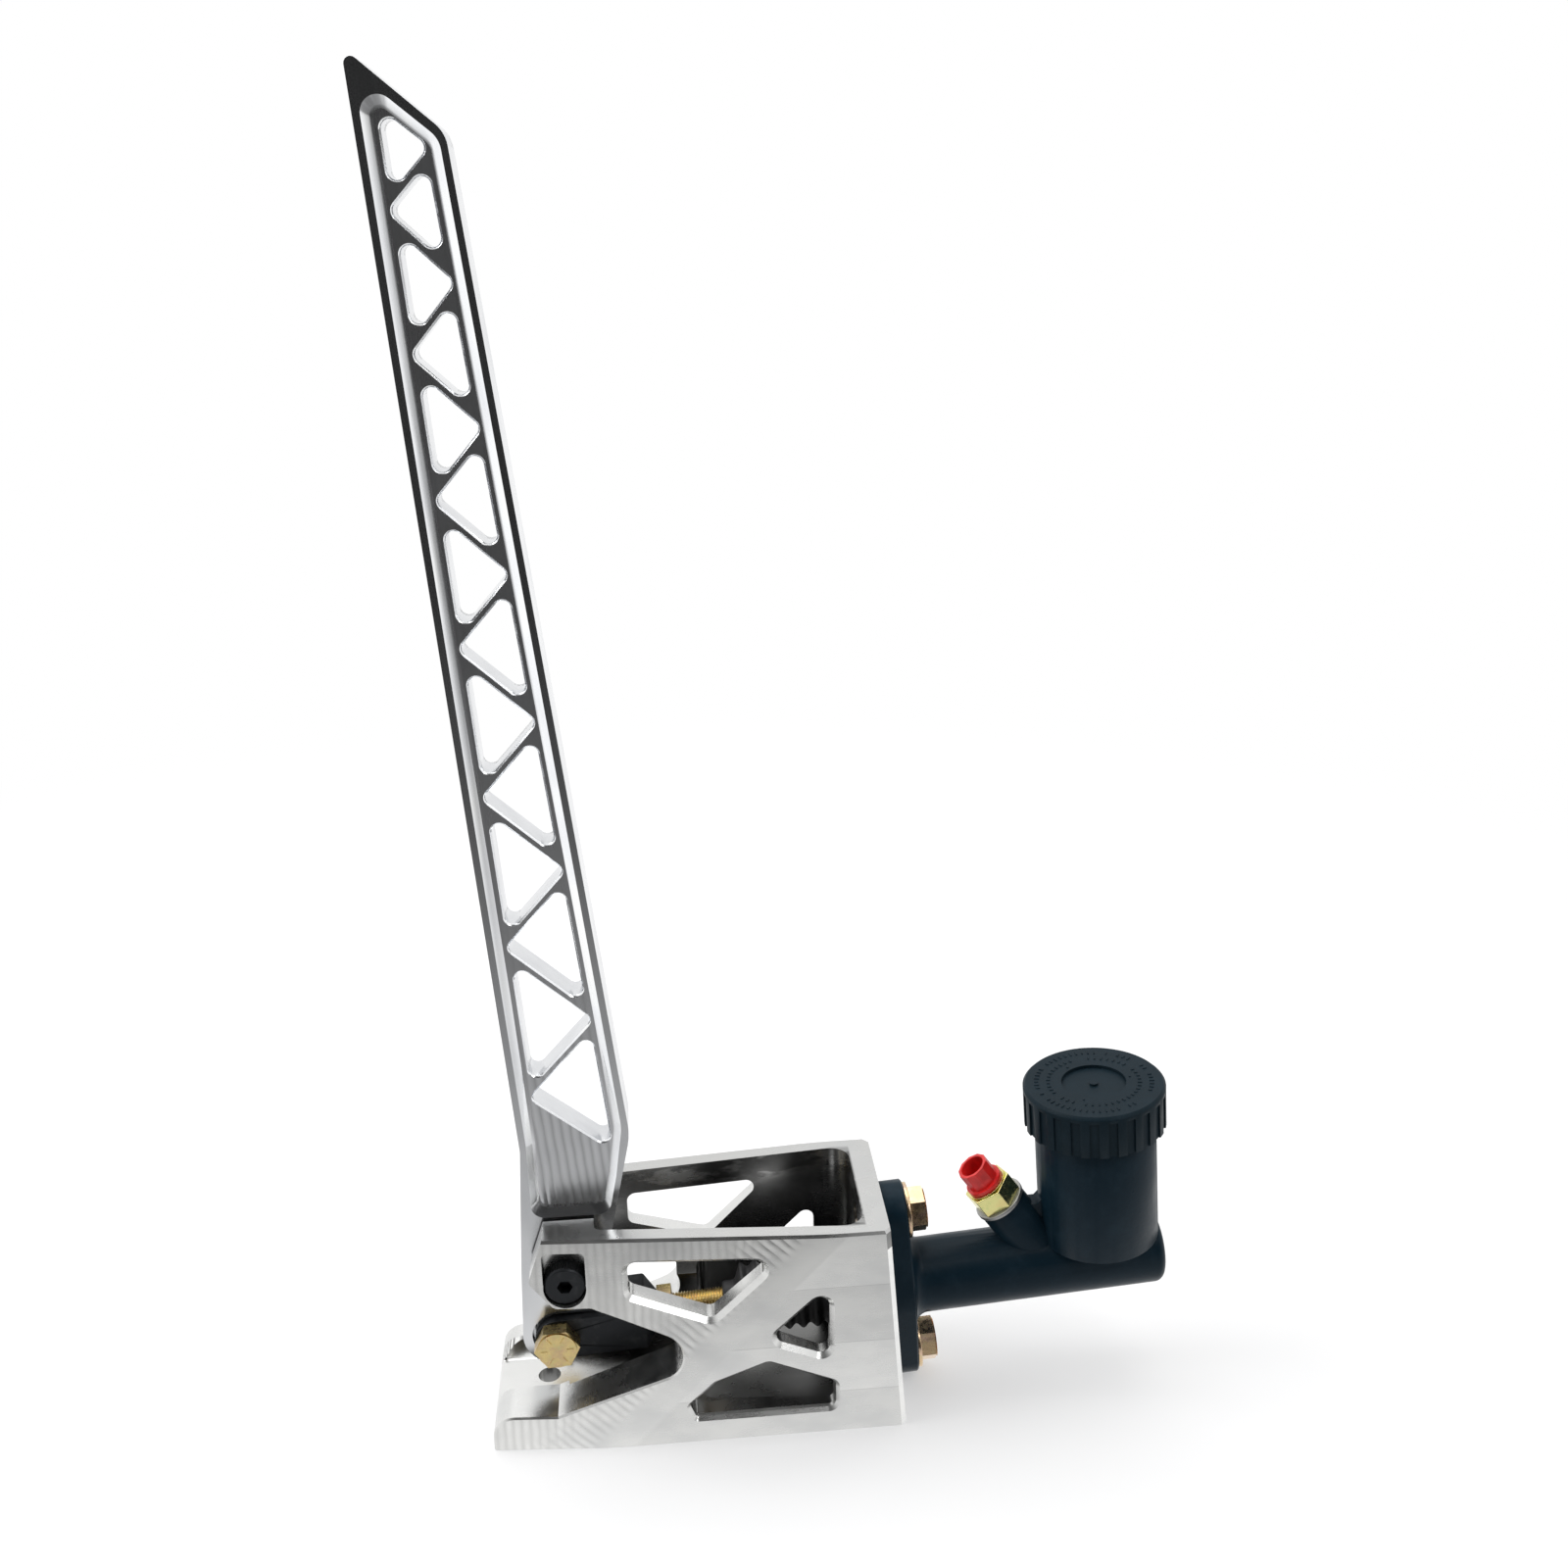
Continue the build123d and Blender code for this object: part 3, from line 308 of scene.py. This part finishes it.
def lever_metal():
    """Brushed rims and a scalloped pocket low down, with bevels between them. Painted highlights brighten the
    bevels, and painted shade darkens the upper rims and the scallops' troughs.
    """
    look = Look("milled_lever", GREY, metallic=1.0, roughness=0.22)
    crosswise = look.vector("DOT_PRODUCT", look.place, (cos(LEVER_LEAN), 0, sin(LEVER_LEAN)))
    off_centre = look.math("ABSOLUTE", look.y)
    sideways = look.math("ABSOLUTE", look.vector("DOT_PRODUCT", look.normal, (0, 1, 0)))
    on_face = look.step(sideways, 0.90, 0.97)
    in_pocket = look.times(on_face, look.flip(look.step(off_centre, WEB_Y, RIM_Y)))
    on_rim = look.times(on_face, look.step(off_centre, RIM_Y, RIM_Y + 0.6))
    low_pocket = look.times(in_pocket, look.flip(look.step(look.z, 112, 235)))
    high_rim = look.times(on_rim, look.step(look.z, 180, 330))
    bevels = look.between(sideways, (0.5, 0.6), (0.86, 0.92))
    grooves = look.scallops(look.math("ADD", crosswise, look.noise(16.0, 1.0)), SCALLOP_PITCH)
    grooves = look.times(grooves, low_pocket)
    brushed = look.noise(0.35, 2.0, stretch=(1, 1, 30))
    faint = look.noise(0.9, 2.0, stretch=(1, 1, 60))
    normal = look.bump(look.mix(0.5, brushed, faint), 0.007)
    normal = look.bump(grooves, 0.16, normal)
    smears = look.noise(18.0, 3.0, stretch=(1, 1, 2.5), rough=0.6)
    rough = look.span(smears, 0.3, 0.75, 0.15, 0.26)
    rough = look.math("ADD", rough, look.times(in_pocket, 0.10))
    rough = look.math("ADD", rough, look.times(look.math("SUBTRACT", brushed, 0.5), 0.10))
    colour = look.blend(look.step(smears, 0.3, 0.8), (0.76, 0.77, 0.785), (0.66, 0.67, 0.69))
    # painted shade: the rims are darker high up
    colour = look.shade(colour, high_rim, 0.72)
    # painted shade in the scallops' troughs, painted highlight on their crests
    colour = look.shade(colour, low_pocket, look.span(grooves, 0.15, 0.95, 0.80, 1.10))
    # painted highlight on the bevels
    colour = look.shade(colour, bevels, 1.32)
    return look.finish(colour, rough, normal)


def black_ecoat():
    look = Look("black_ecoat", (0.010, 0.013, 0.017), roughness=0.34, specular=0.10)
    peel = look.noise(1.3, 3.0)
    casting = look.noise(7.0, 2.0)
    normal = look.bump(peel, 0.035, look.bump(casting, 0.12))
    dust = look.noise(11.0, 5.0, rough=0.65)
    rough = look.span(dust, 0.3, 0.75, 0.27, 0.46)
    colour = look.blend(look.step(dust, 0.42, 0.85), (0.005, 0.015, 0.024), (0.010, 0.024, 0.036))
    return look.finish(colour, rough, normal)


def cap_plastic():
    look = Look("cap_plastic", (0.014, 0.016, 0.019), roughness=0.5, specular=0.08)
    grain = look.noise(0.35, 2.0)
    swirl = look.noise(12.0, 4.0, rough=0.6)
    colour = look.blend(look.step(swirl, 0.35, 0.8), (0.005, 0.013, 0.019), (0.009, 0.019, 0.027))
    return look.finish(colour, look.span(swirl, 0.3, 0.8, 0.40, 0.56), look.bump(grain, 0.02))


def black_oxide(name="black_oxide", rough=0.36):
    look = Look(name, (0.015, 0.015, 0.017), metallic=0.7, roughness=rough)
    grain = look.noise(0.6, 3.0)
    wear = look.noise(6.0, 4.0, rough=0.65)
    colour = look.blend(look.step(wear, 0.5, 0.85), (0.022, 0.024, 0.027), (0.060, 0.062, 0.064))
    return look.finish(colour, look.span(wear, 0.3, 0.8, rough - 0.07, rough + 0.12), look.bump(grain, 0.015))


def yellow_zinc(name, gold, pink, green, rough=0.30, waves=0.05):
    """Chromated zinc: gold that drifts to pink and green, over steel with slight waves, in millimetres."""
    look = Look(name, gold, metallic=1.0, roughness=rough)
    drift = look.noise(5.0, 3.0, rough=0.6)
    spots = look.noise(1.6, 3.0, rough=0.6)
    colour = look.blend(look.step(drift, 0.42, 0.68), gold, pink)
    colour = look.blend(look.times(look.step(spots, 0.50, 0.72), 0.7), colour, green)
    dents = look.noise(0.9, 2.0)
    soft = look.noise(3.5, 1.0)
    normal = look.bump(dents, waves * 0.25, look.bump(soft, waves))
    return look.finish(colour, look.span(spots, 0.3, 0.8, rough - 0.08, rough + 0.14), normal)


def plain_metal(name, colour, rough, patched):
    look = Look(name, colour, metallic=1.0, roughness=rough)
    turned = look.noise(0.4, 2.0, stretch=(1, 8, 1))
    film_and_shade = look.noise(6.0, 3.0)
    shade = look.blend(look.step(film_and_shade, 0.4, 0.8), colour, patched)
    return look.finish(shade, look.span(film_and_shade, 0.3, 0.8, rough - 0.06, rough + 0.12), look.bump(turned, 0.01))


def rubber():
    look = Look("black_rubber", (0.012, 0.012, 0.013), roughness=0.6)
    grain = look.noise(0.5, 3.0)
    bloom = look.noise(7.0, 4.0, rough=0.6)
    colour = look.blend(look.step(bloom, 0.45, 0.85), (0.011, 0.011, 0.012), (0.030, 0.030, 0.031))
    return look.finish(colour, look.span(bloom, 0.3, 0.8, 0.48, 0.68), look.bump(grain, 0.03))


def red_plastic():
    look = Look("red_plastic", (0.60, 0.012, 0.010), roughness=0.38)
    grain = look.noise(0.7, 2.0)
    flow = look.noise(4.0, 3.0)
    colour = look.blend(look.step(flow, 0.35, 0.75), (0.66, 0.016, 0.014), (0.46, 0.008, 0.008))
    return look.finish(
        colour, look.span(flow, 0.3, 0.8, 0.30, 0.46), look.bump(grain, 0.02),
        Subsurface_Weight=0.12, Subsurface_Radius=(0.004, 0.001, 0.0006), Subsurface_Scale=0.4,
    )


GOLD = yellow_zinc("zinc_gold", (0.70, 0.55, 0.25), (0.60, 0.43, 0.25), (0.64, 0.59, 0.29), waves=0.10)
TAN = yellow_zinc("zinc_tan", (0.68, 0.50, 0.29), (0.70, 0.50, 0.38), (0.63, 0.56, 0.34), rough=0.27)
LIME = yellow_zinc("zinc_lime", (0.80, 0.76, 0.33), (0.80, 0.68, 0.30), (0.66, 0.74, 0.30), rough=0.22)
STEEL = plain_metal("plain_steel", (0.55, 0.55, 0.56), 0.28, (0.42, 0.42, 0.43))
BRONZE = plain_metal("sintered_bronze", (0.58, 0.40, 0.20), 0.38, (0.42, 0.27, 0.13))
ANODISED = plain_metal("anodised_piston", (0.52, 0.49, 0.43), 0.33, (0.42, 0.40, 0.36))
SOFT_GREY = plain_metal("sealing_washer_metal", (0.42, 0.42, 0.41), 0.48, (0.30, 0.30, 0.30))
OXIDE = black_oxide()
CLEVIS_BLACK = black_oxide("clevis_black", 0.42)
RUBBER = rubber()
BRACKET_METAL = bracket_metal()

finishes = {
    "lever": lever_metal(), "pivot_bushes": BRONZE, "clevis_sleeve": BRONZE,
    "pivot_screw": OXIDE, "pivot_washer": OXIDE, "pivot_nut": OXIDE, "clevis": CLEVIS_BLACK,
    "clevis_bolt": GOLD, "clevis_nut": GOLD, "jam_nut": GOLD, "pushrod": GOLD,
    "boot": RUBBER, "diaphragm": RUBBER, "primary_cup": RUBBER, "secondary_cup": RUBBER, "valve_seal": RUBBER,
    "mc_body": black_ecoat(), "piston": ANODISED, "spring_thimble": STEEL, "valve_stem": STEEL,
    "valve_spacer": STEEL, "return_spring": STEEL, "stop_washer": STEEL, "snap_ring": STEEL,
    "flange_washers": TAN, "flange_bolts": TAN, "reservoir_cap": cap_plastic(),
    "outlet_washer": SOFT_GREY, "outlet_adapter": LIME, "outlet_plug": red_plastic(),
}


# ------------------------------------------------------------------ CAD nodes: finish and broken edges
EDGES = {
    "lever": 0.2, "clevis": 0.5, "mc_body": 0.5, "reservoir_cap": 0.35, "boot": 0.9,
    "flange_bolts": 0.35, "clevis_bolt": 0.35, "clevis_nut": 0.3, "jam_nut": 0.3, "outlet_adapter": 0.3,
    "outlet_plug": 0.3, "outlet_washer": 0.3, "flange_washers": 0.3, "pivot_screw": 0.25, "pivot_nut": 0.25,
    "pivot_washer": 0.25, "diaphragm": 0.3,
}


def break_edges(piece, width):
    """Rounds the sharp edges of a CAD node for the eye, leaving its mesh as it is."""
    weld = piece.modifiers.new("weld", "WELD")
    weld.merge_threshold = 0.002 * MM
    bevel = piece.modifiers.new("broken_edges", "BEVEL")
    bevel.width = width * MM
    bevel.segments = 2
    bevel.limit_method = "ANGLE"
    bevel.angle_limit = radians(32)
    bevel.harden_normals = True
    bevel.miter_outer = "MITER_ARC"


finishes.update((name, BRACKET_METAL) for name in nodes if name.startswith("bracket"))
for name, material in finishes.items():
    piece = nodes[name]
    piece.data.materials.clear()
    piece.data.materials.append(material)
    if name in EDGES:
        break_edges(piece, EDGES[name])


# ------------------------------------------------------------------ extra pieces, in millimetres
def ring(centre, axis, radius, count):
    """Points round the axis; the radius is a number or a function of the turn, from 0 to 1."""
    u = ACROSS if abs(axis.dot(ACROSS)) < 0.5 else Vector((1, 0, 0))
    v = axis.cross(u)
    points = []
    for k in range(count):
        turn = k / count
        reach = radius(turn) if callable(radius) else radius
        points.append(centre + (u * cos(2 * pi * turn) + v * sin(2 * pi * turn)) * reach)
    return points


def skin(rings, closed=False):
    """Faces between rings of equal length, closed into a loop or capped at both ends."""
    count = len(rings[0])
    faces = []
    for i in range(len(rings) if closed else len(rings) - 1):
        j = (i + 1) % len(rings)
        for k in range(count):
            m = (k + 1) % count
            faces.append((i * count + k, i * count + m, j * count + m, j * count + k))
    if not closed:
        last = (len(rings) - 1) * count
        faces += [tuple(reversed(range(count))), tuple(range(last, last + count))]
    return [p for one in rings for p in one], faces


def add_piece(name, points, faces, material, body, slot_name):
    """Makes a mesh piece from points in millimetres and lets it ride on a body."""
    mesh = bpy.data.meshes.new(name)
    mesh.from_pydata([tuple(p * MM) for p in points], [], faces)
    work = bmesh.new()
    work.from_mesh(mesh)
    bmesh.ops.recalc_face_normals(work, faces=work.faces)
    work.to_mesh(mesh)
    work.free()
    mesh.materials.append(material)
    piece = bpy.data.objects.new(name, mesh)
    bpy.context.scene.collection.objects.link(piece)
    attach(piece, body)
    return piece


BAR_ROOT, BAR_TOP = 0.1, 0.62                                      # depth below the face, width left on top


def bars(places):
    """Low bars with sloping sides, each from its centre, three directions, length, width and height."""
    points, faces = [], []
    for centre, along, sideways, outwards, length, width, height in places:
        first = len(points)
        for lift, shrink in ((-BAR_ROOT, 1.0), (height, BAR_TOP)):
            for a, b in ((-1, -1), (1, -1), (1, 1), (-1, 1)):
                inset = (1 - shrink) * width
                corner = along * a * (length - inset) / 2 + sideways * b * width * shrink / 2
                points.append(centre + corner + outwards * lift)
        low, top = [first + k for k in range(4)], [first + 4 + k for k in range(4)]
        faces += [tuple(reversed(low)), tuple(top)]
        faces += [(low[k], low[(k + 1) % 4], top[(k + 1) % 4], top[k]) for k in range(4)]
    return points, faces


PITCH, MAJOR_R, THREAD_DEPTH = 25.4 / 24, 4.7625, 0.62             # 3/8-24 thread
ROOT_FLAT, FLANKS = 0.15, 0.7                                      # shares of half a turn of that thread
THREAD_FROM, THREAD_TO = 19.0, 91.0                                # from the clevis pin
NECK_R, BALL_R, NECK_END = 3.4, 4.0, 2.2                           # the neck runs into the ball
BALL_FROM, BALL_TO, BALL_RINGS = 2.15, 0.02, 11                    # radians from the ball's tip, and rings
ROD_SIDES, RINGS_A_TURN = 28, 6


def thread_radius(distance):
    """Radius of the thread round the rod, as a function of the turn, at a distance from the pin."""
    def reach(turn):
        phase = abs(2 * ((distance / PITCH - turn) % 1.0) - 1)
        height = min(max((phase - ROOT_FLAT) / FLANKS, 0), 1)
        return MAJOR_R - THREAD_DEPTH * (1 - height)
    return reach


def threaded_pushrod():
    """Threaded rod with a smooth neck and the ball that pushes on the piston."""
    pin = PIN / MM
    ball = ((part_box("pushrod")[1].x / MM) - BALL_R - pin.x) / BORE.x
    profile = [(THREAD_FROM, MAJOR_R - THREAD_DEPTH)]
    for k in range(1, int((THREAD_TO - THREAD_FROM) / PITCH * RINGS_A_TURN)):
        distance = THREAD_FROM + k * PITCH / RINGS_A_TURN
        profile.append((distance, thread_radius(distance)))
    profile += [(distance, NECK_R) for distance in (THREAD_TO, THREAD_TO + 0.5, ball - NECK_END)]
    for k in range(1, BALL_RINGS + 1):
        angle = BALL_FROM - k * (BALL_FROM - BALL_TO) / BALL_RINGS
        profile.append((ball + BALL_R * cos(angle), BALL_R * sin(angle)))
    rings = [ring(pin + BORE * distance, BORE, radius, ROD_SIDES) for distance, radius in profile]
    piece = add_piece("threaded_pushrod", *skin(rings), GOLD, "pushrod", "yellow_zinc")
    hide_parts("pushrod")


HEAD_R, KNURL_R, KNURL_DEPTH, RIDGES = 7.12, 7.34, 0.2, 64


def ridged(turn):
    """Radius of the knurl: every second point stands on a ridge."""
    return KNURL_R if round(turn * RIDGES * 2) % 2 else KNURL_R - KNURL_DEPTH


def knurled_head():
    """Straight knurl round the pivot screw's head, from its face inwards and back under its skin."""
    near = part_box("pivot_screw")[0].y / MM
    pivot = PIVOT / MM
    profile = (
        (0.9, HEAD_R), (0.75, HEAD_R + 0.05), (1.0, ridged),
        (5.6, ridged), (5.9, HEAD_R), (3.0, HEAD_R - 0.3),
    )
    rings = []
    for depth, radius in profile:
        rings.append(ring(Vector((pivot.x, near + depth, pivot.z)), ACROSS, radius, RIDGES * 2))
    add_piece("pivot_screw_knurl", *skin(rings, closed=True), OXIDE, "bracket", "black_oxide_steel")


GRADE_MARKS, GRADE_R, GRADE_TURN = 6, 4.7, 4.0                     # number, radius and first angle in degrees
GRADE_SIZE = (2.5, 0.75, 0.28)                                     # length, width and height


def grade_marks():
    """Raised dashes in a star on the clevis bolt's head."""
    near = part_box("clevis_bolt")[0].y / MM
    centre = Vector((PIN.x / MM, near, PIN.z / MM))
    places = []
    for k in range(GRADE_MARKS):
        angle = radians(GRADE_TURN + 360 / GRADE_MARKS * k)
        outward = Vector((cos(angle), 0, sin(angle)))
        beside = Vector((-sin(angle), 0, cos(angle)))
        places.append((centre + outward * GRADE_R, outward, beside, -ACROSS, *GRADE_SIZE))
    add_piece("clevis_bolt_marks", *bars(places), GOLD, "pushrod", "yellow_zinc")


CAP_TOP = 12.0                                                     # above the middle of the cap's thread
MARK_RINGS = ((20.4, 58, 2.0), (16.2, 44, 1.7), (13.2, 3, 0.9))    # radius, number and length of the marks
MARK_HEIGHT = 0.26
GAPS = 0.16                                                        # share of the marks that are left out


def cap_marks():
    """Plain raised dashes in rings on the cap's top, where such caps carry their notice."""
    centre = Vector(joints["cap_turn"]["pos_m"]) / MM + UP * CAP_TOP
    spread = random.Random(7)
    beside = ACROSS.cross(UP)
    places = []
    for radius, count, tall in MARK_RINGS:
        for k in range(count):
            angle = 2 * pi * k / count
            if tall > 1 and spread.random() < GAPS:
                continue
            outward = beside * cos(angle) + ACROSS * sin(angle)
            across = UP.cross(outward)
            length = tall * spread.uniform(0.75, 1.0)
            width = spread.uniform(0.5, 0.95)
            places.append((centre + outward * radius, outward, across, UP, length, width, MARK_HEIGHT))
    add_piece("cap_marks", *bars(places), finishes["reservoir_cap"], "cap", "black_cap_plastic")


threaded_pushrod()
knurled_head()
grade_marks()
cap_marks()


# ------------------------------------------------------------------ stage, light and camera
def glowing(name, size, place, target, power):
    """Soft white panel that faces its target. Places are in metres and power is in watts."""
    light = bpy.data.lights.new(name, "AREA")
    light.shape = "RECTANGLE"
    light.size, light.size_y = size
    light.energy = power
    lamp = bpy.data.objects.new(name, light)
    lamp.location = place
    lamp.rotation_euler = (Vector(target) - Vector(place)).to_track_quat("-Z", "Y").to_euler()
    bpy.context.scene.collection.objects.link(lamp)


FLOOR_HALF, FLOOR_GAP = 6.0, 0.0002                                # half the sheet's side, gap, in metres
NEAR_GLOW = 0.4                                                    # how white the floor is at the object
FLOOR_FADE, ROOM_HALF_WIDTH = 240.0, 150.0                         # the dark room in front, in millimetres
ROOM_SPREAD = 0.6                                                  # how fast it lightens past that half width
ROOM_LEVEL = 0.03                                                  # brightness of that room
ROOM_EDGES = (-0.08, -0.52)                                        # how far forward it begins and is full
ROOM_TURN = 0.3                                                    # how much a sideways direction lightens it


def make_floor():
    """Pale sheet that fades to white far away, and that metal mirrors dimmer towards the viewer."""
    mesh = bpy.data.meshes.new("floor")
    corners = [(x * FLOOR_HALF, y * FLOOR_HALF, 0) for x, y in ((-1, -1), (1, -1), (1, 1), (-1, 1))]
    mesh.from_pydata(corners, [], [(0, 1, 2, 3)])
    floor = bpy.data.objects.new("floor", mesh)
    floor.location = (0, 0, -FLOOR_GAP)
    bpy.context.scene.collection.objects.link(floor)
    look = Look("pale_floor", (0.86, 0.86, 0.865), roughness=0.75, specular=0.2)
    links, new = look.tree.links, look.tree.nodes.new
    look.finish(bump=look.bump(look.noise(0.6, 2.0), 0.01))
    away = look.vector("LENGTH", look.place)
    glow = look.mix(look.step(away, 380, 900), NEAR_GLOW, 1.0)
    ray = new("ShaderNodeLightPath").outputs
    aside = look.math("SUBTRACT", look.math("ABSOLUTE", look.x), ROOM_HALF_WIDTH)
    aside = look.math("MAXIMUM", aside, 0.0)
    towards = look.math("ADD", look.y, look.times(aside, ROOM_SPREAD))
    towards = look.math("MINIMUM", look.math("DIVIDE", towards, FLOOR_FADE), 0.0)
    mirrored = look.math("ADD", look.math("EXPONENT", towards), ROOM_LEVEL)
    white, dim = new("ShaderNodeEmission"), new("ShaderNodeEmission")
    links.new(mirrored, dim.inputs["Strength"])
    near_far, by_ray = new("ShaderNodeMixShader"), new("ShaderNodeMixShader")
    links.new(glow, near_far.inputs[0])
    links.new(look.shader.outputs[0], near_far.inputs[1])
    links.new(white.outputs[0], near_far.inputs[2])
    links.new(ray["Is Glossy Ray"], by_ray.inputs[0])
    links.new(near_far.outputs[0], by_ray.inputs[1])
    links.new(dim.outputs[0], by_ray.inputs[2])
    links.new(by_ray.outputs[0], look.tree.nodes["Material Output"].inputs["Surface"])
    mesh.materials.append(look.material)


def make_world():
    """Bright all round, and dim behind the camera, where the room is dark."""
    world = bpy.data.worlds.new("studio")
    world.use_nodes = True
    bpy.context.scene.world = world
    tree = world.node_tree
    tree.nodes.clear()
    out = tree.nodes.new("ShaderNodeOutputWorld")
    back = tree.nodes.new("ShaderNodeBackground")
    coordinates = tree.nodes.new("ShaderNodeTexCoord")
    split = tree.nodes.new("ShaderNodeSeparateXYZ")
    tree.links.new(coordinates.outputs["Generated"], split.inputs[0])
    front = tree.nodes.new("ShaderNodeMapRange")
    front.interpolation_type = "SMOOTHSTEP"
    for name, number in zip(("From Min", "From Max", "To Min", "To Max"), (*ROOM_EDGES, 1.0, ROOM_LEVEL)):
        front.inputs[name].default_value = number
    sideways, turned = tree.nodes.new("ShaderNodeMath"), tree.nodes.new("ShaderNodeMath")
    sideways.operation = "ABSOLUTE"
    turned.operation = "MULTIPLY_ADD"
    tree.links.new(split.outputs["X"], sideways.inputs[0])
    tree.links.new(sideways.outputs[0], turned.inputs[0])
    turned.inputs[1].default_value = ROOM_TURN
    tree.links.new(split.outputs["Y"], turned.inputs[2])
    tree.links.new(turned.outputs[0], front.inputs["Value"])
    seen = tree.nodes.new("ShaderNodeLightPath")
    shown = tree.nodes.new("ShaderNodeMix")
    tree.links.new(seen.outputs["Is Camera Ray"], shown.inputs["Factor"])
    tree.links.new(front.outputs["Result"], shown.inputs[2])
    shown.inputs[3].default_value = 1.0
    tree.links.new(shown.outputs[0], back.inputs["Strength"])
    back.inputs["Color"].default_value = (1, 1, 1, 1)
    tree.links.new(back.outputs[0], out.inputs["Surface"])


def make_camera():
    """Held a little above the object's middle, looking down at it and turned a little to the right."""
    yaw, pitch, roll = 0.0815, 0.3362, 0.0221
    place = (0.04104, -0.50184, 0.41236)
    data = bpy.data.cameras.new("camera")
    data.sensor_width = 36.0
    data.lens = 37.21
    data.clip_start = 0.02
    camera = bpy.data.objects.new("camera", data)
    forward = Vector((sin(yaw) * cos(pitch), cos(yaw) * cos(pitch), -sin(pitch)))
    level = Vector((cos(yaw), -sin(yaw), 0))
    below = forward.cross(level)
    right = cos(roll) * level + sin(roll) * below
    down = -sin(roll) * level + cos(roll) * below
    turn = Matrix((right, -down, -forward)).transposed()
    camera.matrix_world = Matrix.Translation(place) @ turn.to_4x4()
    bpy.context.scene.collection.objects.link(camera)
    bpy.context.scene.camera = camera


make_floor()
make_world()
make_camera()
glowing("key_left", (0.8, 0.8), (-0.9, 0.1, 1.2), (0.05, 0, 0.1), 9)
glowing("top", (1.6, 1.2), (0.1, 0.5, 1.5), (0.05, 0.1, 0.1), 9)
glowing("window", (0.45, 0.45), (0.55, -0.62, 0.95), (0.05, 0, 0.05), 2.0)
bpy.context.scene.view_settings.view_transform = "Standard"
